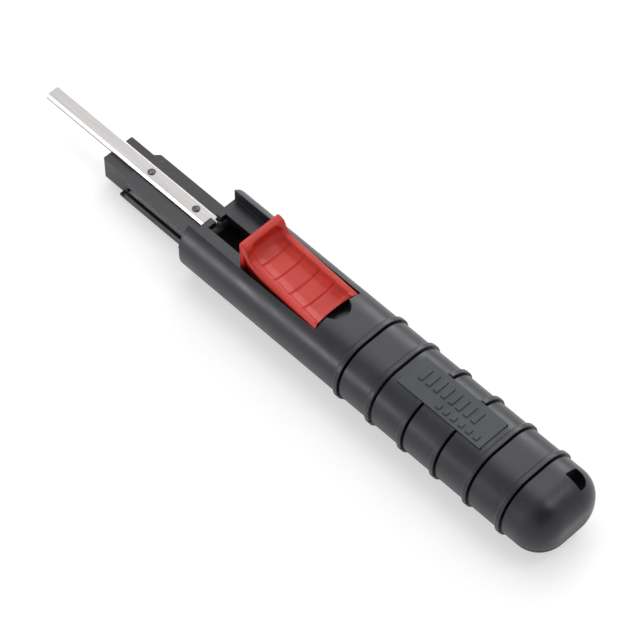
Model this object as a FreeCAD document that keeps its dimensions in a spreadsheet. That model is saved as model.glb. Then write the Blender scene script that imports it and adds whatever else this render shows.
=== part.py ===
import FreeCAD, Part
import os
import Sketcher

# Plug release tool: a two-shell handle with a sliding steel strip, nose and thumb slide.
# +X points to the strip's tip, +Z is up, z = 0 is the flat underside that the handle rests on,
# and x = 0 is half way along the whole tool. Millimetres.

# ---------------------------------------------------------------------------
# Sizes: one cell each. "rise" and "drop" count up and down from the handle's axis.
# ---------------------------------------------------------------------------
SIZES = {
    # lengths along the tool
    "handle_length": 155.1,
    "nose_reach": 44.4,
    "blade_reach": 30.5,
    "travel": 18.5,
    "end_wall": 2.4,
    # handle section
    "handle_width": 29.8,
    "crown_rise": 11.7,
    "belly_drop": 12.0,
    "crown_corner": 11.2,
    "belly_corner": 11.2,
    "butt_round": 9.6,
    "mouth_round": 0.8,
    "seam_drop": 3.6,
    "shell_wall": 2.2,
    "seam_groove": 0.9,
    "seam_gap": 0.5,
    "rib_wall": 1.5,
    "rail_width": 1.8,
    "rail_inset": 0.6,
    "ear_spacing": 6.8,
    "ear_wall": 2.0,
    "ear_reach": 2.4,
    # rings round the grip
    "ring_first": 70.0,
    "ring_pitch": 13.6,
    "ring_count": 6,
    "ring_height": 0.8,
    "ring_width": 2.2,
    "ring_land": 0.8,
    "ring_edge": 0.2,
    # plaque
    "plaque_setback": 87.4,
    "plaque_length": 34.2,
    "plaque_width": 12.4,
    "plaque_rise": 12.1,
    "plaque_step": 0.5,
    "bar_count": 8,
    "bar_setback": 5.4,
    "bar_height": 0.35,
    "bar_width": 1.7,
    "bar_length": 5.0,
    "bar_pitch": 3.1,
    "bar_offset": 1.5,
    "tick_setback": 16.2,
    "tick_length": 1.9,
    "tick_offset": 3.9,
    # thumb channel, floor and well
    "rim_width": 5.1,
    "floor_rise": 5.1,
    "floor_thickness": 2.6,
    "lip_length": 2.3,
    "well_width": 7.6,
    "lip_notch_width": 2.3,
    "lip_notch_offset": 0.65,
    "notch_radius": 4.9,
    "notch_reach": 3.8,
    # thumb slide
    "slider_length": 34.3,
    "slider_rise": 19.5,
    "slider_tail_rise": 9.4,
    "slider_taper": 1.2,
    "slider_wall": 2.0,
    "slider_land": 3.6,
    "slider_heel": 5.7,
    "slider_knee_rise": 13.8,
    "skirt_wall": 1.4,
    "skirt_inset": 1.3,
    "dish_depth": 1.5,
    "dish_width": 14.4,
    "leg_length": 23.3,
    # nose
    "nose_width": 15.1,
    "nose_rise": 0.7,
    "block_length": 11.2,
    "block_width": 12.2,
    "block_drop": 9.1,
    "block_edge": 0.5,
    "flange_thickness": 2.7,
    "web_width": 9.2,
    "tray_width": 15.0,
    "tray_setback": 8.8,
    "tray_drop": 10.4,
    "tray_lip": 1.2,
    "tray_edge": 0.3,
    # steel strips
    "strip_width": 12.6,
    "strip_thickness": 0.8,
    "strip_drop": 7.4,
    "blade_width": 5.6,
    "blade_thickness": 1.8,
    "blade_rise": 2.1,
    "blade_bevel": 0.7,
    "tang_width": 0.8,
    "tang_thickness": 0.8,
    "tang_offset": 1.05,
    "tang_reach": 1.2,
    # fasteners
    "rivet_diameter": 2.6,
    "rivet_setback": 16.4,
    "rivet_spacing": 20.6,
    "rivet_head_height": 0.15,
    "screw_diameter": 2.2,
    "screw_head": 4.0,
    "screw_head_height": 1.3,
    "screw_cross": 2.4,
    "screw_cross_width": 0.56,
    "screw_cross_depth": 0.7,
    "screw_spread": 21.2,
    "screw_seat_drop": 6.2,
    "screw_length": 8.0,
    "screw_boss": 6.4,
    "screw_front": 11.0,
    "screw_middle": 62.0,
    "screw_rear": 131.0,
    "slider_screw_spacing": 11.0,
    "slider_screw_depth": 4.0,
    # spring and its pins
    "spring_diameter": 5.4,
    "spring_wire": 0.7,
    "spring_length": 35.0,
    "spring_turns": 14,
    "spring_drop": 2.6,
    "pin_diameter": 2.0,
    # sled and its glides
    "sled_tail": 1.0,
    "sled_slot": 7.0,
    "sled_corner": 0.8,
    "glide_width": 0.8,
    "glide_thickness": 0.8,
    # lanyard slot
    "slot_setback": 3.5,
    "slot_length": 6.4,
    "slot_width": 4.8,
    "slot_offset": 5.6,
    "slot_corner": 4.2,
    "slot_wall": 1.8,
    # clearances
    "slide_gap": 0.3,
    "slider_gap": 0.35,
    "well_gap": 0.4,
    "stop_gap": 0.5,
    "pin_gap": 0.03,
}

doc = FreeCAD.newDocument("plug_release_tool")
sheet = doc.addObject("Spreadsheet::Sheet", "Sizes")
for row, (alias, number) in enumerate(SIZES.items(), start=1):
    sheet.set(f"A{row}", alias)
    sheet.set(f"B{row}", str(number))
    sheet.setAlias(f"B{row}", alias)
doc.recompute()


# ---------------------------------------------------------------------------
# Expressions: small helpers that write the bindings to the sheet
# ---------------------------------------------------------------------------
def of(alias):
    """A size as it is written in a binding."""
    return f"Sizes.{alias}"


def up(alias):
    """Height of a point that is given as a rise above the handle's axis."""
    return f"({AXIS} + {of(alias)})"


def down(alias):
    """Height of a point that is given as a drop below the handle's axis."""
    return f"({AXIS} - {of(alias)})"


def tang_side(gap):
    """Low and high Y of the strip's tang, which lies off the middle, with a gap round it."""
    reach = f"({of('tang_width')} / 2 + {gap})"
    return f"-{of('tang_offset')} - {reach}", f"-{of('tang_offset')} + {reach}"


def either_side(width):
    """Low and high Y of something centred on the tool."""
    return f"-({width}) / 2", f"({width}) / 2"


def both_sides(low, high):
    """The same stretch of Y on the left and on the right, by name."""
    return ("left", (low, high)), ("right", (f"-({high})", f"-({low})"))


def measure(binding):
    """The number that a binding gives now."""
    return float(sheet.evalExpression(binding))


# Places along the tool
OVERALL = f"({of('handle_length')} + {of('nose_reach')} + {of('blade_reach')})"
BUTT = f"(-{OVERALL} / 2)"
TIP = f"({OVERALL} / 2)"
MOUTH = f"({BUTT} + {of('handle_length')})"
NOSE_FRONT = f"({MOUTH} + {of('nose_reach')})"
BLOCK_REAR = f"({NOSE_FRONT} - {of('block_length')})"
WELL_FRONT = f"({MOUTH} - {of('lip_length')})"
SLIDER_FRONT = f"({WELL_FRONT} - {of('stop_gap')} - {of('travel')})"
SLIDER_REAR = f"({SLIDER_FRONT} - {of('slider_length')})"
LEG_REAR = f"({SLIDER_FRONT} - {of('leg_length')})"
CHANNEL_END = f"({SLIDER_REAR} - {of('well_gap')})"
NOTCH_WALL = f"({CHANNEL_END} - {of('notch_reach')} - {of('shell_wall')})"
GUIDE_REAR = f"({SLIDER_FRONT} - {of('slider_wall')})"
SLED_REAR = f"({SLIDER_REAR} - {of('sled_tail')})"
SPRING_FRONT = f"({SLED_REAR} + {of('sled_slot')} / 2)"
SPRING_REAR = f"({SPRING_FRONT} - {of('spring_length')})"
HANG_FRONT = f"({BUTT} + {of('slot_setback')} + {of('slot_length')})"

# Heights
AXIS = of("belly_drop")
CROWN = up("crown_rise")
BELLY = down("belly_drop")
SEAM = down("seam_drop")
FLOOR_TOP = up("floor_rise")
FLOOR_UNDER = f"({FLOOR_TOP} - {of('floor_thickness')})"
SLED_TOP = f"({FLOOR_UNDER} - {of('slide_gap')})"
STRIP_TOP = down("strip_drop")
STRIP_UNDER = f"({STRIP_TOP} - {of('strip_thickness')})"
NOSE_TOP = up("nose_rise")
FLANGE_UNDER = f"({NOSE_TOP} - {of('flange_thickness')})"
BLADE_TOP = up("blade_rise")
BLADE_UNDER = f"({BLADE_TOP} - {of('blade_thickness')})"
CAVITY_FLOOR = f"({BELLY} + {of('shell_wall')})"
RAIL_TOP = f"({STRIP_UNDER} - {of('slide_gap')})"
SPRING_LINE = down("spring_drop")
SCREW_SEAT = down("screw_seat_drop")
HOOK_FLOOR = f"({FLANGE_UNDER} + {of('flange_thickness')} / 4)"

# Past everything, the overshoot of a cutting form, and how far a joined form is set in
FAR = "400"
OVER = "1"
ROOT = "0.2"

# Widths
CHANNEL_WIDTH = f"({of('handle_width')} - 2 * {of('rim_width')})"
SLIDER_WIDTH = f"({CHANNEL_WIDTH} - 2 * {of('slider_gap')})"
LEG_WIDTH = f"({of('well_width')} - 2 * {of('well_gap')})"
GUIDEWAY = f"({of('nose_width')} + 2 * {of('slide_gap')})"
RIVET_FRONT = f"({NOSE_FRONT} - {of('rivet_setback')})"
RIVET_REAR = f"({RIVET_FRONT} - {of('rivet_spacing')})"
LEG_SCREW_REAR = f"({LEG_REAR} + {of('screw_head')})"
LEG_SCREW_FRONT = f"({LEG_SCREW_REAR} + {of('slider_screw_spacing')})"
EAR_SIDE = f"({of('ear_spacing')} / 2 + {of('ear_wall')})"
HOOK_REAR = f"({MOUTH} - {of('tang_reach')})"


# ---------------------------------------------------------------------------
# Primitives and booleans bound to the sheet
# ---------------------------------------------------------------------------
def box(name, along, across, height):
    """Box between low and high X, Y and Z."""
    made = doc.addObject("Part::Box", name)
    for side, axis, (low, high) in zip(("Length", "Width", "Height"), "xyz", (along, across, height)):
        made.setExpression(side, f"({high}) - ({low})")
        made.setExpression(f"Placement.Base.{axis}", low)
    return made


def post(name, along, across, height, diameter):
    """Vertical cylinder."""
    low, high = height
    made = doc.addObject("Part::Cylinder", name)
    made.setExpression("Radius", f"({diameter}) / 2")
    made.setExpression("Height", f"({high}) - ({low})")
    for axis, place in zip("xyz", (along, across, low)):
        made.setExpression(f"Placement.Base.{axis}", place)
    return made


def cross_pin(name, along, half_length, height, diameter):
    """Cylinder that lies across the tool."""
    made = doc.addObject("Part::Cylinder", name)
    made.Placement.Rotation = FreeCAD.Rotation(FreeCAD.Vector(1, 0, 0), -90)
    made.setExpression("Radius", f"({diameter}) / 2")
    made.setExpression("Height", f"2 * ({half_length})")
    for axis, place in zip("xyz", (along, f"-({half_length})", height)):
        made.setExpression(f"Placement.Base.{axis}", place)
    return made


def join(name, pieces):
    made = doc.addObject("Part::MultiFuse", name)
    made.Shapes = pieces
    return made


def cut(name, base, tools):
    """One piece less all the tools."""
    made = doc.addObject("Part::Cut", name)
    made.Base = base
    made.Tool = tools[0] if len(tools) == 1 else join(name + "_tools", tools)
    return made


def overlap(name, first, second):
    made = doc.addObject("Part::Common", name)
    made.Base = first
    made.Tool = second
    return made


# ---------------------------------------------------------------------------
# Bodies made from sketches
# ---------------------------------------------------------------------------
def new_body(name):
    return doc.addObject("PartDesign::Body", name)


def sketch_on(body, name, role, offset):
    """Empty sketch on one of the body's own planes, moved by three bindings."""
    plane = next(item for item in body.Origin.OriginFeatures if item.Role == role)
    made = body.newObject("Sketcher::SketchObject", name)
    made.AttachmentSupport = (plane, [""])
    made.MapMode = "FlatFace"
    for axis, place in zip("xyz", offset):
        made.setExpression(f"AttachmentOffset.Base.{axis}", place)
    return made


def draw_outline(sketch, corners):
    """Closed outline of straight lines, each corner bound by its distances from the sketch's
    own origin."""
    points = [FreeCAD.Vector(measure(across), measure(rise), 0) for across, rise in corners]
    for index, point in enumerate(points):
        sketch.addGeometry(Part.LineSegment(point, points[(index + 1) % len(points)]))
    for index in range(len(points)):
        sketch.addConstraint(Sketcher.Constraint("Coincident", index, 2, (index + 1) % len(points), 1))
    for index, (corner, point) in enumerate(zip(corners, points)):
        for kind, binding, number in zip(("DistanceX", "DistanceY"), corner, (point.x, point.y)):
            datum = sketch.addConstraint(Sketcher.Constraint(kind, -1, 1, index, 1, number))
            sketch.setExpression(f"Constraints[{datum}]", binding)


def draw_rectangle(sketch, width, height):
    draw_outline(sketch, [("0", "0"), (width, "0"), (width, height), ("0", height)])


def draw_circle(sketch, diameter):
    """Circle about the sketch's own origin."""
    number = measure(diameter) / 2
    sketch.addGeometry(Part.Circle(FreeCAD.Vector(), FreeCAD.Vector(0, 0, 1), number))
    sketch.addConstraint(Sketcher.Constraint("Coincident", 0, 3, -1, 1))
    datum = sketch.addConstraint(Sketcher.Constraint("Radius", 0, number))
    sketch.setExpression(f"Constraints[{datum}]", f"({diameter}) / 2")


def draw_section(sketch, inset):
    """The handle's rounded section, drawn inside its true outline by the inset. U is across the
    handle and V is up; the two upper corners share one radius and the two lower ones another."""
    depth = f"({of('crown_rise')} + {of('belly_drop')})"
    half = f"({of('handle_width')} / 2 - ({inset}))"
    crown = f"({CROWN} - ({inset}))"
    belly = f"({BELLY} + ({inset}))"
    crown_radius = f"(min({of('crown_corner')}; {depth} * 0.48; {of('handle_width')} * 0.48) - ({inset}))"
    belly_radius = f"(min({of('belly_corner')}; {depth} * 0.48; {of('handle_width')} * 0.48) - ({inset}))"
    wide, high, low = measure(half), measure(crown), measure(belly)
    upper, lower = measure(crown_radius), measure(belly_radius)
    lines = [
        ((-(wide - upper), high), (wide - upper, high)),
        ((wide, high - upper), (wide, low + lower)),
        ((wide - lower, low), (-(wide - lower), low)),
        ((-wide, low + lower), (-wide, high - upper)),
    ]
    for start, end in lines:
        sketch.addGeometry(Part.LineSegment(FreeCAD.Vector(*start, 0), FreeCAD.Vector(*end, 0)))
    corners = [
        (wide - upper, high - upper, upper, 0.0),
        (wide - lower, low + lower, lower, 270.0),
        (-(wide - lower), low + lower, lower, 180.0),
        (-(wide - upper), high - upper, upper, 90.0),
    ]
    for across, rise, radius, start in corners:
        circle = Part.Circle(FreeCAD.Vector(across, rise, 0), FreeCAD.Vector(0, 0, 1), radius)
        turn = FreeCAD.Units.Quantity(start, FreeCAD.Units.Angle).getValueAs("rad").Value
        quarter = FreeCAD.Units.Quantity(90, FreeCAD.Units.Angle).getValueAs("rad").Value
        sketch.addGeometry(Part.ArcOfCircle(circle, turn, turn + quarter))
    # every line ends where an arc ends, and the next line starts where the arc starts
    for line in range(4):
        sketch.addConstraint(Sketcher.Constraint("Tangent", line, 2, 4 + line, 2))
        sketch.addConstraint(Sketcher.Constraint("Tangent", 4 + line, 1, (line + 1) % 4, 1))
    # the symmetry below also holds the top line level
    for line, kind in ((1, "Vertical"), (2, "Horizontal"), (3, "Vertical")):
        sketch.addConstraint(Sketcher.Constraint(kind, line))
    sketch.addConstraint(Sketcher.Constraint("Equal", 4, 7))
    sketch.addConstraint(Sketcher.Constraint("Equal", 5, 6))
    sketch.addConstraint(Sketcher.Constraint("Symmetric", 0, 1, 0, 2, -2))
    bound = [
        (Sketcher.Constraint("DistanceX", -1, 1, 1, 1, wide), half),
        (Sketcher.Constraint("DistanceY", -1, 1, 0, 2, high), crown),
        (Sketcher.Constraint("DistanceY", -1, 1, 2, 1, low), belly),
        (Sketcher.Constraint("Radius", 4, upper), crown_radius),
        (Sketcher.Constraint("Radius", 5, lower), belly_radius),
    ]
    for constraint, binding in bound:
        datum = sketch.addConstraint(constraint)
        sketch.setExpression(f"Constraints[{datum}]", binding)


def pad(body, name, sketch, length):
    made = body.newObject("PartDesign::Pad", name)
    made.Profile = sketch
    made.setExpression("Length", length)
    return made


def pocket(body, name, sketch, depth):
    """Cut below the sketch."""
    made = body.newObject("PartDesign::Pocket", name)
    made.Profile = sketch
    made.setExpression("Length", depth)
    return made


def slab(body, name, along, across, height):
    """Rectangle on a level plane, padded upwards."""
    sketch = sketch_on(body, name + "_outline", "XY_Plane", (along[0], across[0], height[0]))
    draw_rectangle(sketch, f"({along[1]}) - ({along[0]})", f"({across[1]}) - ({across[0]})")
    return pad(body, name, sketch, f"({height[1]}) - ({height[0]})")


def recess(body, name, along, across, height):
    """Rectangle on a level plane, cut downwards."""
    sketch = sketch_on(body, name + "_outline", "XY_Plane", (along[0], across[0], height[1]))
    draw_rectangle(sketch, f"({along[1]}) - ({along[0]})", f"({across[1]}) - ({across[0]})")
    return pocket(body, name, sketch, f"({height[1]}) - ({height[0]})")


def bore(body, name, along, across, height, diameter):
    """Round hole cut downwards."""
    sketch = sketch_on(body, name + "_outline", "XY_Plane", (along, across, height[1]))
    draw_circle(sketch, diameter)
    return pocket(body, name, sketch, f"({height[1]}) - ({height[0]})")


def soften(body, name, kind, feature, size, wanted):
    """Fillet or chamfer the edges of a feature that the test picks out."""
    doc.recompute()
    names = [f"Edge{count}" for count, edge in enumerate(feature.Shape.Edges, start=1) if wanted(edge)]
    if not names:
        raise ValueError(f"{name} finds no edges")
    made = body.newObject(f"PartDesign::{kind}", name)
    made.Base = (feature, names)
    made.setExpression("Radius" if kind == "Fillet" else "Size", size)
    return made


def level_at(binding, axis):
    """Test for an edge that lies in one plane square to an axis."""
    place = measure(binding)
    return lambda edge: all(abs(getattr(point.Point, axis) - place) < 1e-4 for point in edge.Vertexes)


def upright(edge):
    ends = [point.Point for point in edge.Vertexes]
    return len(ends) == 2 and abs(ends[0].x - ends[1].x) < 1e-6 and abs(ends[0].y - ends[1].y) < 1e-6


def lengthwise(edge):
    ends = [point.Point for point in edge.Vertexes]
    return len(ends) == 2 and abs(ends[0].y - ends[1].y) < 1e-6 and abs(ends[0].z - ends[1].z) < 1e-6


def handle_shape(name, inset, front, mouth_radius=None):
    """Solid with the handle's section, from near the butt to the front, and a rounded butt."""
    body = new_body(name)
    rear = f"({BUTT} + ({inset}))"
    sketch = sketch_on(body, name + "_section", "YZ_Plane", ("0", "0", rear))
    draw_section(sketch, inset)
    bar = pad(body, name + "_bar", sketch, f"({front}) - ({rear})")
    tightest = f"min({of('crown_corner')}; {of('belly_corner')}) - {ROOT}"
    radius = f"(min({of('butt_round')}; {tightest}) - ({inset}))"
    last = soften(body, name + "_butt", "Fillet", bar, radius, level_at(rear, "x"))
    if mouth_radius:
        last = soften(body, name + "_mouth", "Fillet", last, mouth_radius, level_at(front, "x"))
    return body


# ---------------------------------------------------------------------------
# Handle: the outer shape with its rings, and the hollow inside it
# ---------------------------------------------------------------------------
def ring(index):
    """One ring round the grip: a low band swept along the handle's section."""
    body = new_body(f"ring_form_{index + 1}")
    middle = f"({MOUTH} - {of('ring_first')} - {index} * {of('ring_pitch')})"
    path = sketch_on(body, f"ring_path_{index + 1}", "YZ_Plane", ("0", "0", middle))
    draw_section(path, "0")
    root = of("ring_height")
    base = f"{CROWN} - {root}"
    band = sketch_on(body, f"ring_profile_{index + 1}", "XZ_Plane",
                     (f"{middle} - {of('ring_width')} / 2", base, "0"))
    foot, shoulder = of("ring_width"), f"({of('ring_width')} - {of('ring_land')}) / 2"
    # steep towards the butt, sloped towards the front
    draw_outline(band, [
        ("0", "0"),
        (foot, "0"),
        (foot, root),
        (f"{foot} - {shoulder} * 0.45", f"{root} * 1.7"),
        (f"{foot} - {shoulder}", f"{root} * 2"),
        (of("ring_edge"), f"{root} * 2"),
        ("0", f"{root} * 2 - {of('ring_edge')}"),
    ])
    sweep = body.newObject("PartDesign::AdditivePipe", f"ring_sweep_{index + 1}")
    sweep.Profile = band
    sweep.Spine = path
    sweep.Mode = "Frenet"
    return body


def lanyard_form(name, wall, height):
    """Upright prism with the lanyard slot's outline: square to the front and to the middle of
    the tool, round towards the corner of the butt."""
    body = new_body(name)
    rear = f"({BUTT} + {of('slot_setback')} - ({wall}))"
    outer = f"(-{of('slot_offset')} - {of('slot_width')} - ({wall}))"
    block = slab(body, name + "_block", (rear, f"{HANG_FRONT} + ({wall})"),
                 (outer, f"-{of('slot_offset')} + ({wall})"), height)
    edge_x, edge_y = measure(rear), measure(outer)
    soften(body, name + "_corner", "Fillet", block, f"{of('slot_corner')} + ({wall})",
           lambda edge: upright(edge) and abs(edge.Vertexes[0].X - edge_x) < 1e-4
           and abs(edge.Vertexes[0].Y - edge_y) < 1e-4)
    return body


ringed_form = join("ringed_form", [handle_shape("handle_form", "0", MOUTH, of("mouth_round"))]
                   + [ring(index) for index in range(SIZES["ring_count"])])
# the rings run out on the flat underside, so the tool lies steady
outer_form = cut("outer_form", ringed_form, [
    box("below_belly", (f"-{FAR}", FAR), (f"-{FAR}", FAR), (f"-{FAR}", BELLY))])
cavity_form = handle_shape("cavity_form", of("shell_wall"), f"{MOUTH} - {of('end_wall')}")
solid_handle = handle_shape("solid_handle", "0.05", f"{MOUTH} - 0.05")
seam_form = handle_shape("seam_form", of("seam_groove"), f"{MOUTH} - {of('seam_groove')}")

SCREW_PLACES = [
    (f"({MOUTH} - {of(place)})", f"({side}{of('screw_spread')} / 2)")
    for place in ("screw_front", "screw_middle", "screw_rear")
    for side in ("", "-")
]
HANG_RISE = (f"{BELLY} - {OVER}", f"{CROWN} + {OVER}")


# ---------------------------------------------------------------------------
# Upper shell
# ---------------------------------------------------------------------------
def upper_shell():
    half = f"{GUIDEWAY} / 2"
    inside = [
        box("upper_floor_mass", (NOTCH_WALL, MOUTH), (f"-{FAR}", FAR), (FLOOR_UNDER, FAR)),
        lanyard_form("upper_lanyard_wall", of("slot_wall"), (SEAM, CROWN)),
    ]
    for side, across in both_sides(half, f"{half} + {of('rib_wall')}"):
        inside.append(box(f"upper_rib_{side}", (NOTCH_WALL, f"{MOUTH} - {of('mouth_round')}"), across,
                          (SEAM, f"{FLOOR_UNDER} + {ROOT}")))
    for count, (along, across) in enumerate(SCREW_PLACES, start=1):
        inside.append(post(f"upper_boss_{count}", along, across, (SEAM, CROWN), of("screw_boss")))
    hollow = cut("upper_hollow", outer_form, [cavity_form])
    filling = overlap("upper_filling", join("upper_inside", inside), solid_handle)
    above = box("above_seam", (f"-{FAR}", FAR), (f"-{FAR}", FAR), (SEAM, FAR))
    blank = overlap("upper_blank", join("upper_body", [hollow, filling]), above)

    plaque_front = f"({MOUTH} - {of('plaque_setback')})"
    plaque_rear = f"({plaque_front} - {of('plaque_length')})"
    plaque_side = either_side(of("plaque_width"))
    plaque = box("plaque", (plaque_rear, plaque_front), plaque_side,
                 (f"{CROWN} - {of('shell_wall')} / 2", up("plaque_rise")))
    # the rings stop short of the plaque, and a shallow step runs round it
    step = of("plaque_step")
    around = box("plaque_clearing", (f"{plaque_rear} - {step}", f"{plaque_front} + {step}"),
                 either_side(f"{of('plaque_width')} + 2 * {step}"), (CROWN, FAR))
    # a row of bars towards one edge of the plaque and a row of short ticks towards the other
    bars = []
    proud = (f"{up('plaque_rise')} - {ROOT}", f"{up('plaque_rise')} + {of('bar_height')}")
    for name, setback, middle, length in (
        ("bar", of("bar_setback"), f"-{of('bar_offset')}", of("bar_length")),
        ("tick", of("tick_setback"), of("tick_offset"), of("tick_length")),
    ):
        for count in range(SIZES["bar_count"]):
            low = f"({plaque_front} - {setback} - {count} * {of('bar_pitch')})"
            if measure(f"{low} - {plaque_rear}") > SIZES["bar_width"]:
                bars.append(box(f"plaque_{name}_{count + 1}", (low, f"{low} + {of('bar_width')}"),
                                (f"{middle} - {length} / 2", f"{middle} + {length} / 2"), proud))

    cuts = [
        around,
        box("thumb_channel", (CHANNEL_END, FAR), either_side(CHANNEL_WIDTH), (FLOOR_TOP, FAR)),
        post("thumb_notch", f"{CHANNEL_END} - {of('notch_reach')} + {of('notch_radius')}", "0",
             (FLOOR_TOP, FAR), f"2 * {of('notch_radius')}"),
        box("well", (f"{LEG_REAR} - {of('stop_gap')}", WELL_FRONT), either_side(of("well_width")),
            (f"{FLOOR_UNDER} - {OVER}", FAR)),
        box("lip_notch", (f"{WELL_FRONT} - {OVER}", FAR),
            (f"-{of('lip_notch_offset')} - {of('lip_notch_width')} / 2",
             f"-{of('lip_notch_offset')} + {of('lip_notch_width')} / 2"),
            (f"{FLOOR_UNDER} - {OVER}", FAR)),
        box("upper_guideway", (f"{SLED_REAR} - {of('pin_diameter')}", FAR), either_side(GUIDEWAY),
            ("0", FLOOR_UNDER)),
        lanyard_form("upper_lanyard_slot", "0", HANG_RISE),
    ]
    for count, (along, across) in enumerate(SCREW_PLACES, start=1):
        cuts.append(post(f"upper_pilot_{count}", along, across,
                         (f"{SEAM} - {OVER}", f"{SCREW_SEAT} + {of('screw_length')} + {of('stop_gap')}"),
                         f"{of('screw_diameter')} + 2 * {of('pin_gap')}"))
    cleared = cut("upper_cleared", blank, cuts)
    return join("upper_shell", [cleared, plaque] + bars)


# ---------------------------------------------------------------------------
# Lower shell
# ---------------------------------------------------------------------------
def lower_shell():
    half = f"{GUIDEWAY} / 2"
    rail = f"({of('strip_width')} / 2 - {of('rail_inset')})"
    inside = [
        lanyard_form("lower_lanyard_wall", of("slot_wall"), (BELLY, SEAM)),
    ]
    for side, across in both_sides(half, f"{half} + {of('rib_wall')}"):
        inside.append(box(f"lower_rib_{side}", (NOTCH_WALL, f"{MOUTH} - {of('mouth_round')}"), across,
                          (BELLY, SEAM)))
    for side, across in both_sides(f"{rail} - {of('rail_width')}", rail):
        inside.append(box(f"rail_{side}", (f"{SLED_REAR} - {of('pin_diameter')}",
                                           f"{GUIDE_REAR} - {of('stop_gap')}"), across,
                          (BELLY, RAIL_TOP)))
    for count, (along, across) in enumerate(SCREW_PLACES, start=1):
        inside.append(post(f"lower_boss_{count}", along, across, (BELLY, SEAM), of("screw_boss")))
    hollow = cut("lower_hollow", outer_form, [cavity_form])
    below = box("below_seam", (f"-{FAR}", FAR), (f"-{FAR}", FAR), (f"-{FAR}", SEAM))
    filling = overlap("lower_filling", join("lower_inside", inside), solid_handle)
    blank = overlap("lower_blank", join("lower_body", [hollow, filling]), below)

    # shallow rebate all round the outside, just under the seam
    groove_slab = box("groove_slab", (f"-{FAR}", FAR), (f"-{FAR}", FAR),
                      (f"{SEAM} - {of('seam_gap')}", SEAM))
    groove = cut("seam_rebate", groove_slab, [seam_form])
    cuts = [
        groove,
        box("lower_guideway", (f"{SLED_REAR} - {of('pin_diameter')}", FAR), either_side(GUIDEWAY),
            (RAIL_TOP, FAR)),
        box("tray_way", (f"{GUIDE_REAR} - {of('stop_gap')}", FAR),
            either_side(f"{of('tray_width')} + 2 * {of('slide_gap')}"),
            (f"{down('tray_drop')} - {of('slide_gap')}", FAR)),
        lanyard_form("lower_lanyard_slot", "0", HANG_RISE),
    ]
    for count, (along, across) in enumerate(SCREW_PLACES, start=1):
        cuts.append(post(f"lower_hole_{count}", along, across, (f"{SCREW_SEAT} - {OVER}", FAR),
                         f"{of('screw_diameter')} + {of('slide_gap')}"))
        cuts.append(post(f"lower_recess_{count}", along, across, (f"-{FAR}", SCREW_SEAT),
                         f"{of('screw_head')} + {of('slide_gap')}"))
    cleared = cut("lower_cleared", blank, cuts)

    # ears that hold the spring's rear pin
    ears = []
    reach = of("ear_reach")
    for side, across in both_sides(f"{of('ear_spacing')} / 2", EAR_SIDE):
        ears.append(box(f"ear_{side}", (f"{SPRING_REAR} - {reach}", f"{SPRING_REAR} + {reach}"), across,
                        (f"{CAVITY_FLOOR} - {ROOT}", f"{SPRING_LINE} + {reach}")))
    whole = join("lower_whole", [cleared] + ears)
    return cut("lower_shell", whole, [
        cross_pin("ear_hole", SPRING_REAR, f"{EAR_SIDE} + {OVER}", SPRING_LINE,
                  f"{of('pin_diameter')} + 2 * {of('pin_gap')}")])


# ---------------------------------------------------------------------------
# Nose: strip, guides and the steel spine between them
# ---------------------------------------------------------------------------
def rivet_holes(body, height):
    for name, along in (("front", RIVET_FRONT), ("rear", RIVET_REAR)):
        last = bore(body, f"{body.Name}_rivet_hole_{name}", along, "0", height,
                    f"{of('rivet_diameter')} + 2 * {of('pin_gap')}")
    return last


def blade():
    body = new_body("blade")
    rear = f"{MOUTH} + {of('slide_gap')}"
    strip = slab(body, "blade_strip", (rear, TIP), either_side(of("blade_width")), (BLADE_UNDER, BLADE_TOP))
    level = measure(BLADE_TOP)
    bevel = soften(body, "blade_bevel", "Chamfer", strip, of("blade_bevel"),
                   lambda edge: lengthwise(edge) and abs(edge.Vertexes[0].Z - level) < 1e-4)
    slab(body, "blade_tang", (HOOK_REAR, f"{rear} + {OVER}"), tang_side("0"),
         (f"{BLADE_TOP} - {of('tang_thickness')}", BLADE_TOP))
    slab(body, "blade_hook", (HOOK_REAR, f"{HOOK_REAR} + {of('tang_thickness')}"), tang_side("0"),
         (f"{HOOK_FLOOR} + {ROOT}", BLADE_TOP))
    rivet_holes(body, (f"{BLADE_UNDER} - {OVER}", f"{BLADE_TOP} + {OVER}"))
    return body


def upper_nose_guide():
    body = new_body("upper_nose_guide")
    flange = slab(body, "nose_flange", (GUIDE_REAR, BLOCK_REAR), either_side(of("nose_width")),
                  (FLANGE_UNDER, NOSE_TOP))
    front = measure(BLOCK_REAR)
    soften(body, "flange_step", "Chamfer", flange, f"({of('nose_width')} - {of('block_width')}) / 2",
           lambda edge: upright(edge) and abs(edge.Vertexes[0].X - front) < 1e-4)
    slab(body, "nose_web", (GUIDE_REAR, BLOCK_REAR), either_side(of("web_width")),
         (STRIP_TOP, FLANGE_UNDER))
    block = slab(body, "nose_block", (BLOCK_REAR, NOSE_FRONT), either_side(of("block_width")),
                 (down("block_drop"), BLADE_UNDER))
    reach = measure(NOSE_FRONT)
    soften(body, "block_edges", "Chamfer", block, of("block_edge"),
           lambda edge: abs(edge.CenterOfMass.x - reach) < 1e-4)
    seat = either_side(f"{of('blade_width')} + 2 * {of('pin_gap')}")
    recess(body, "blade_seat", (f"{MOUTH} + {of('slide_gap')} - {OVER}", f"{NOSE_FRONT} + {OVER}"), seat,
           (BLADE_UNDER, f"{NOSE_TOP} + {OVER}"))
    recess(body, "hook_hole",
           (f"{HOOK_REAR} - {of('pin_gap')}", f"{HOOK_REAR} + {of('tang_thickness')} + {of('pin_gap')}"),
           tang_side(of("pin_gap")), (HOOK_FLOOR, f"{NOSE_TOP} + {OVER}"))
    rivet_holes(body, (f"{STRIP_TOP} - {OVER}", f"{NOSE_TOP} + {OVER}"))
    return body


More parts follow.
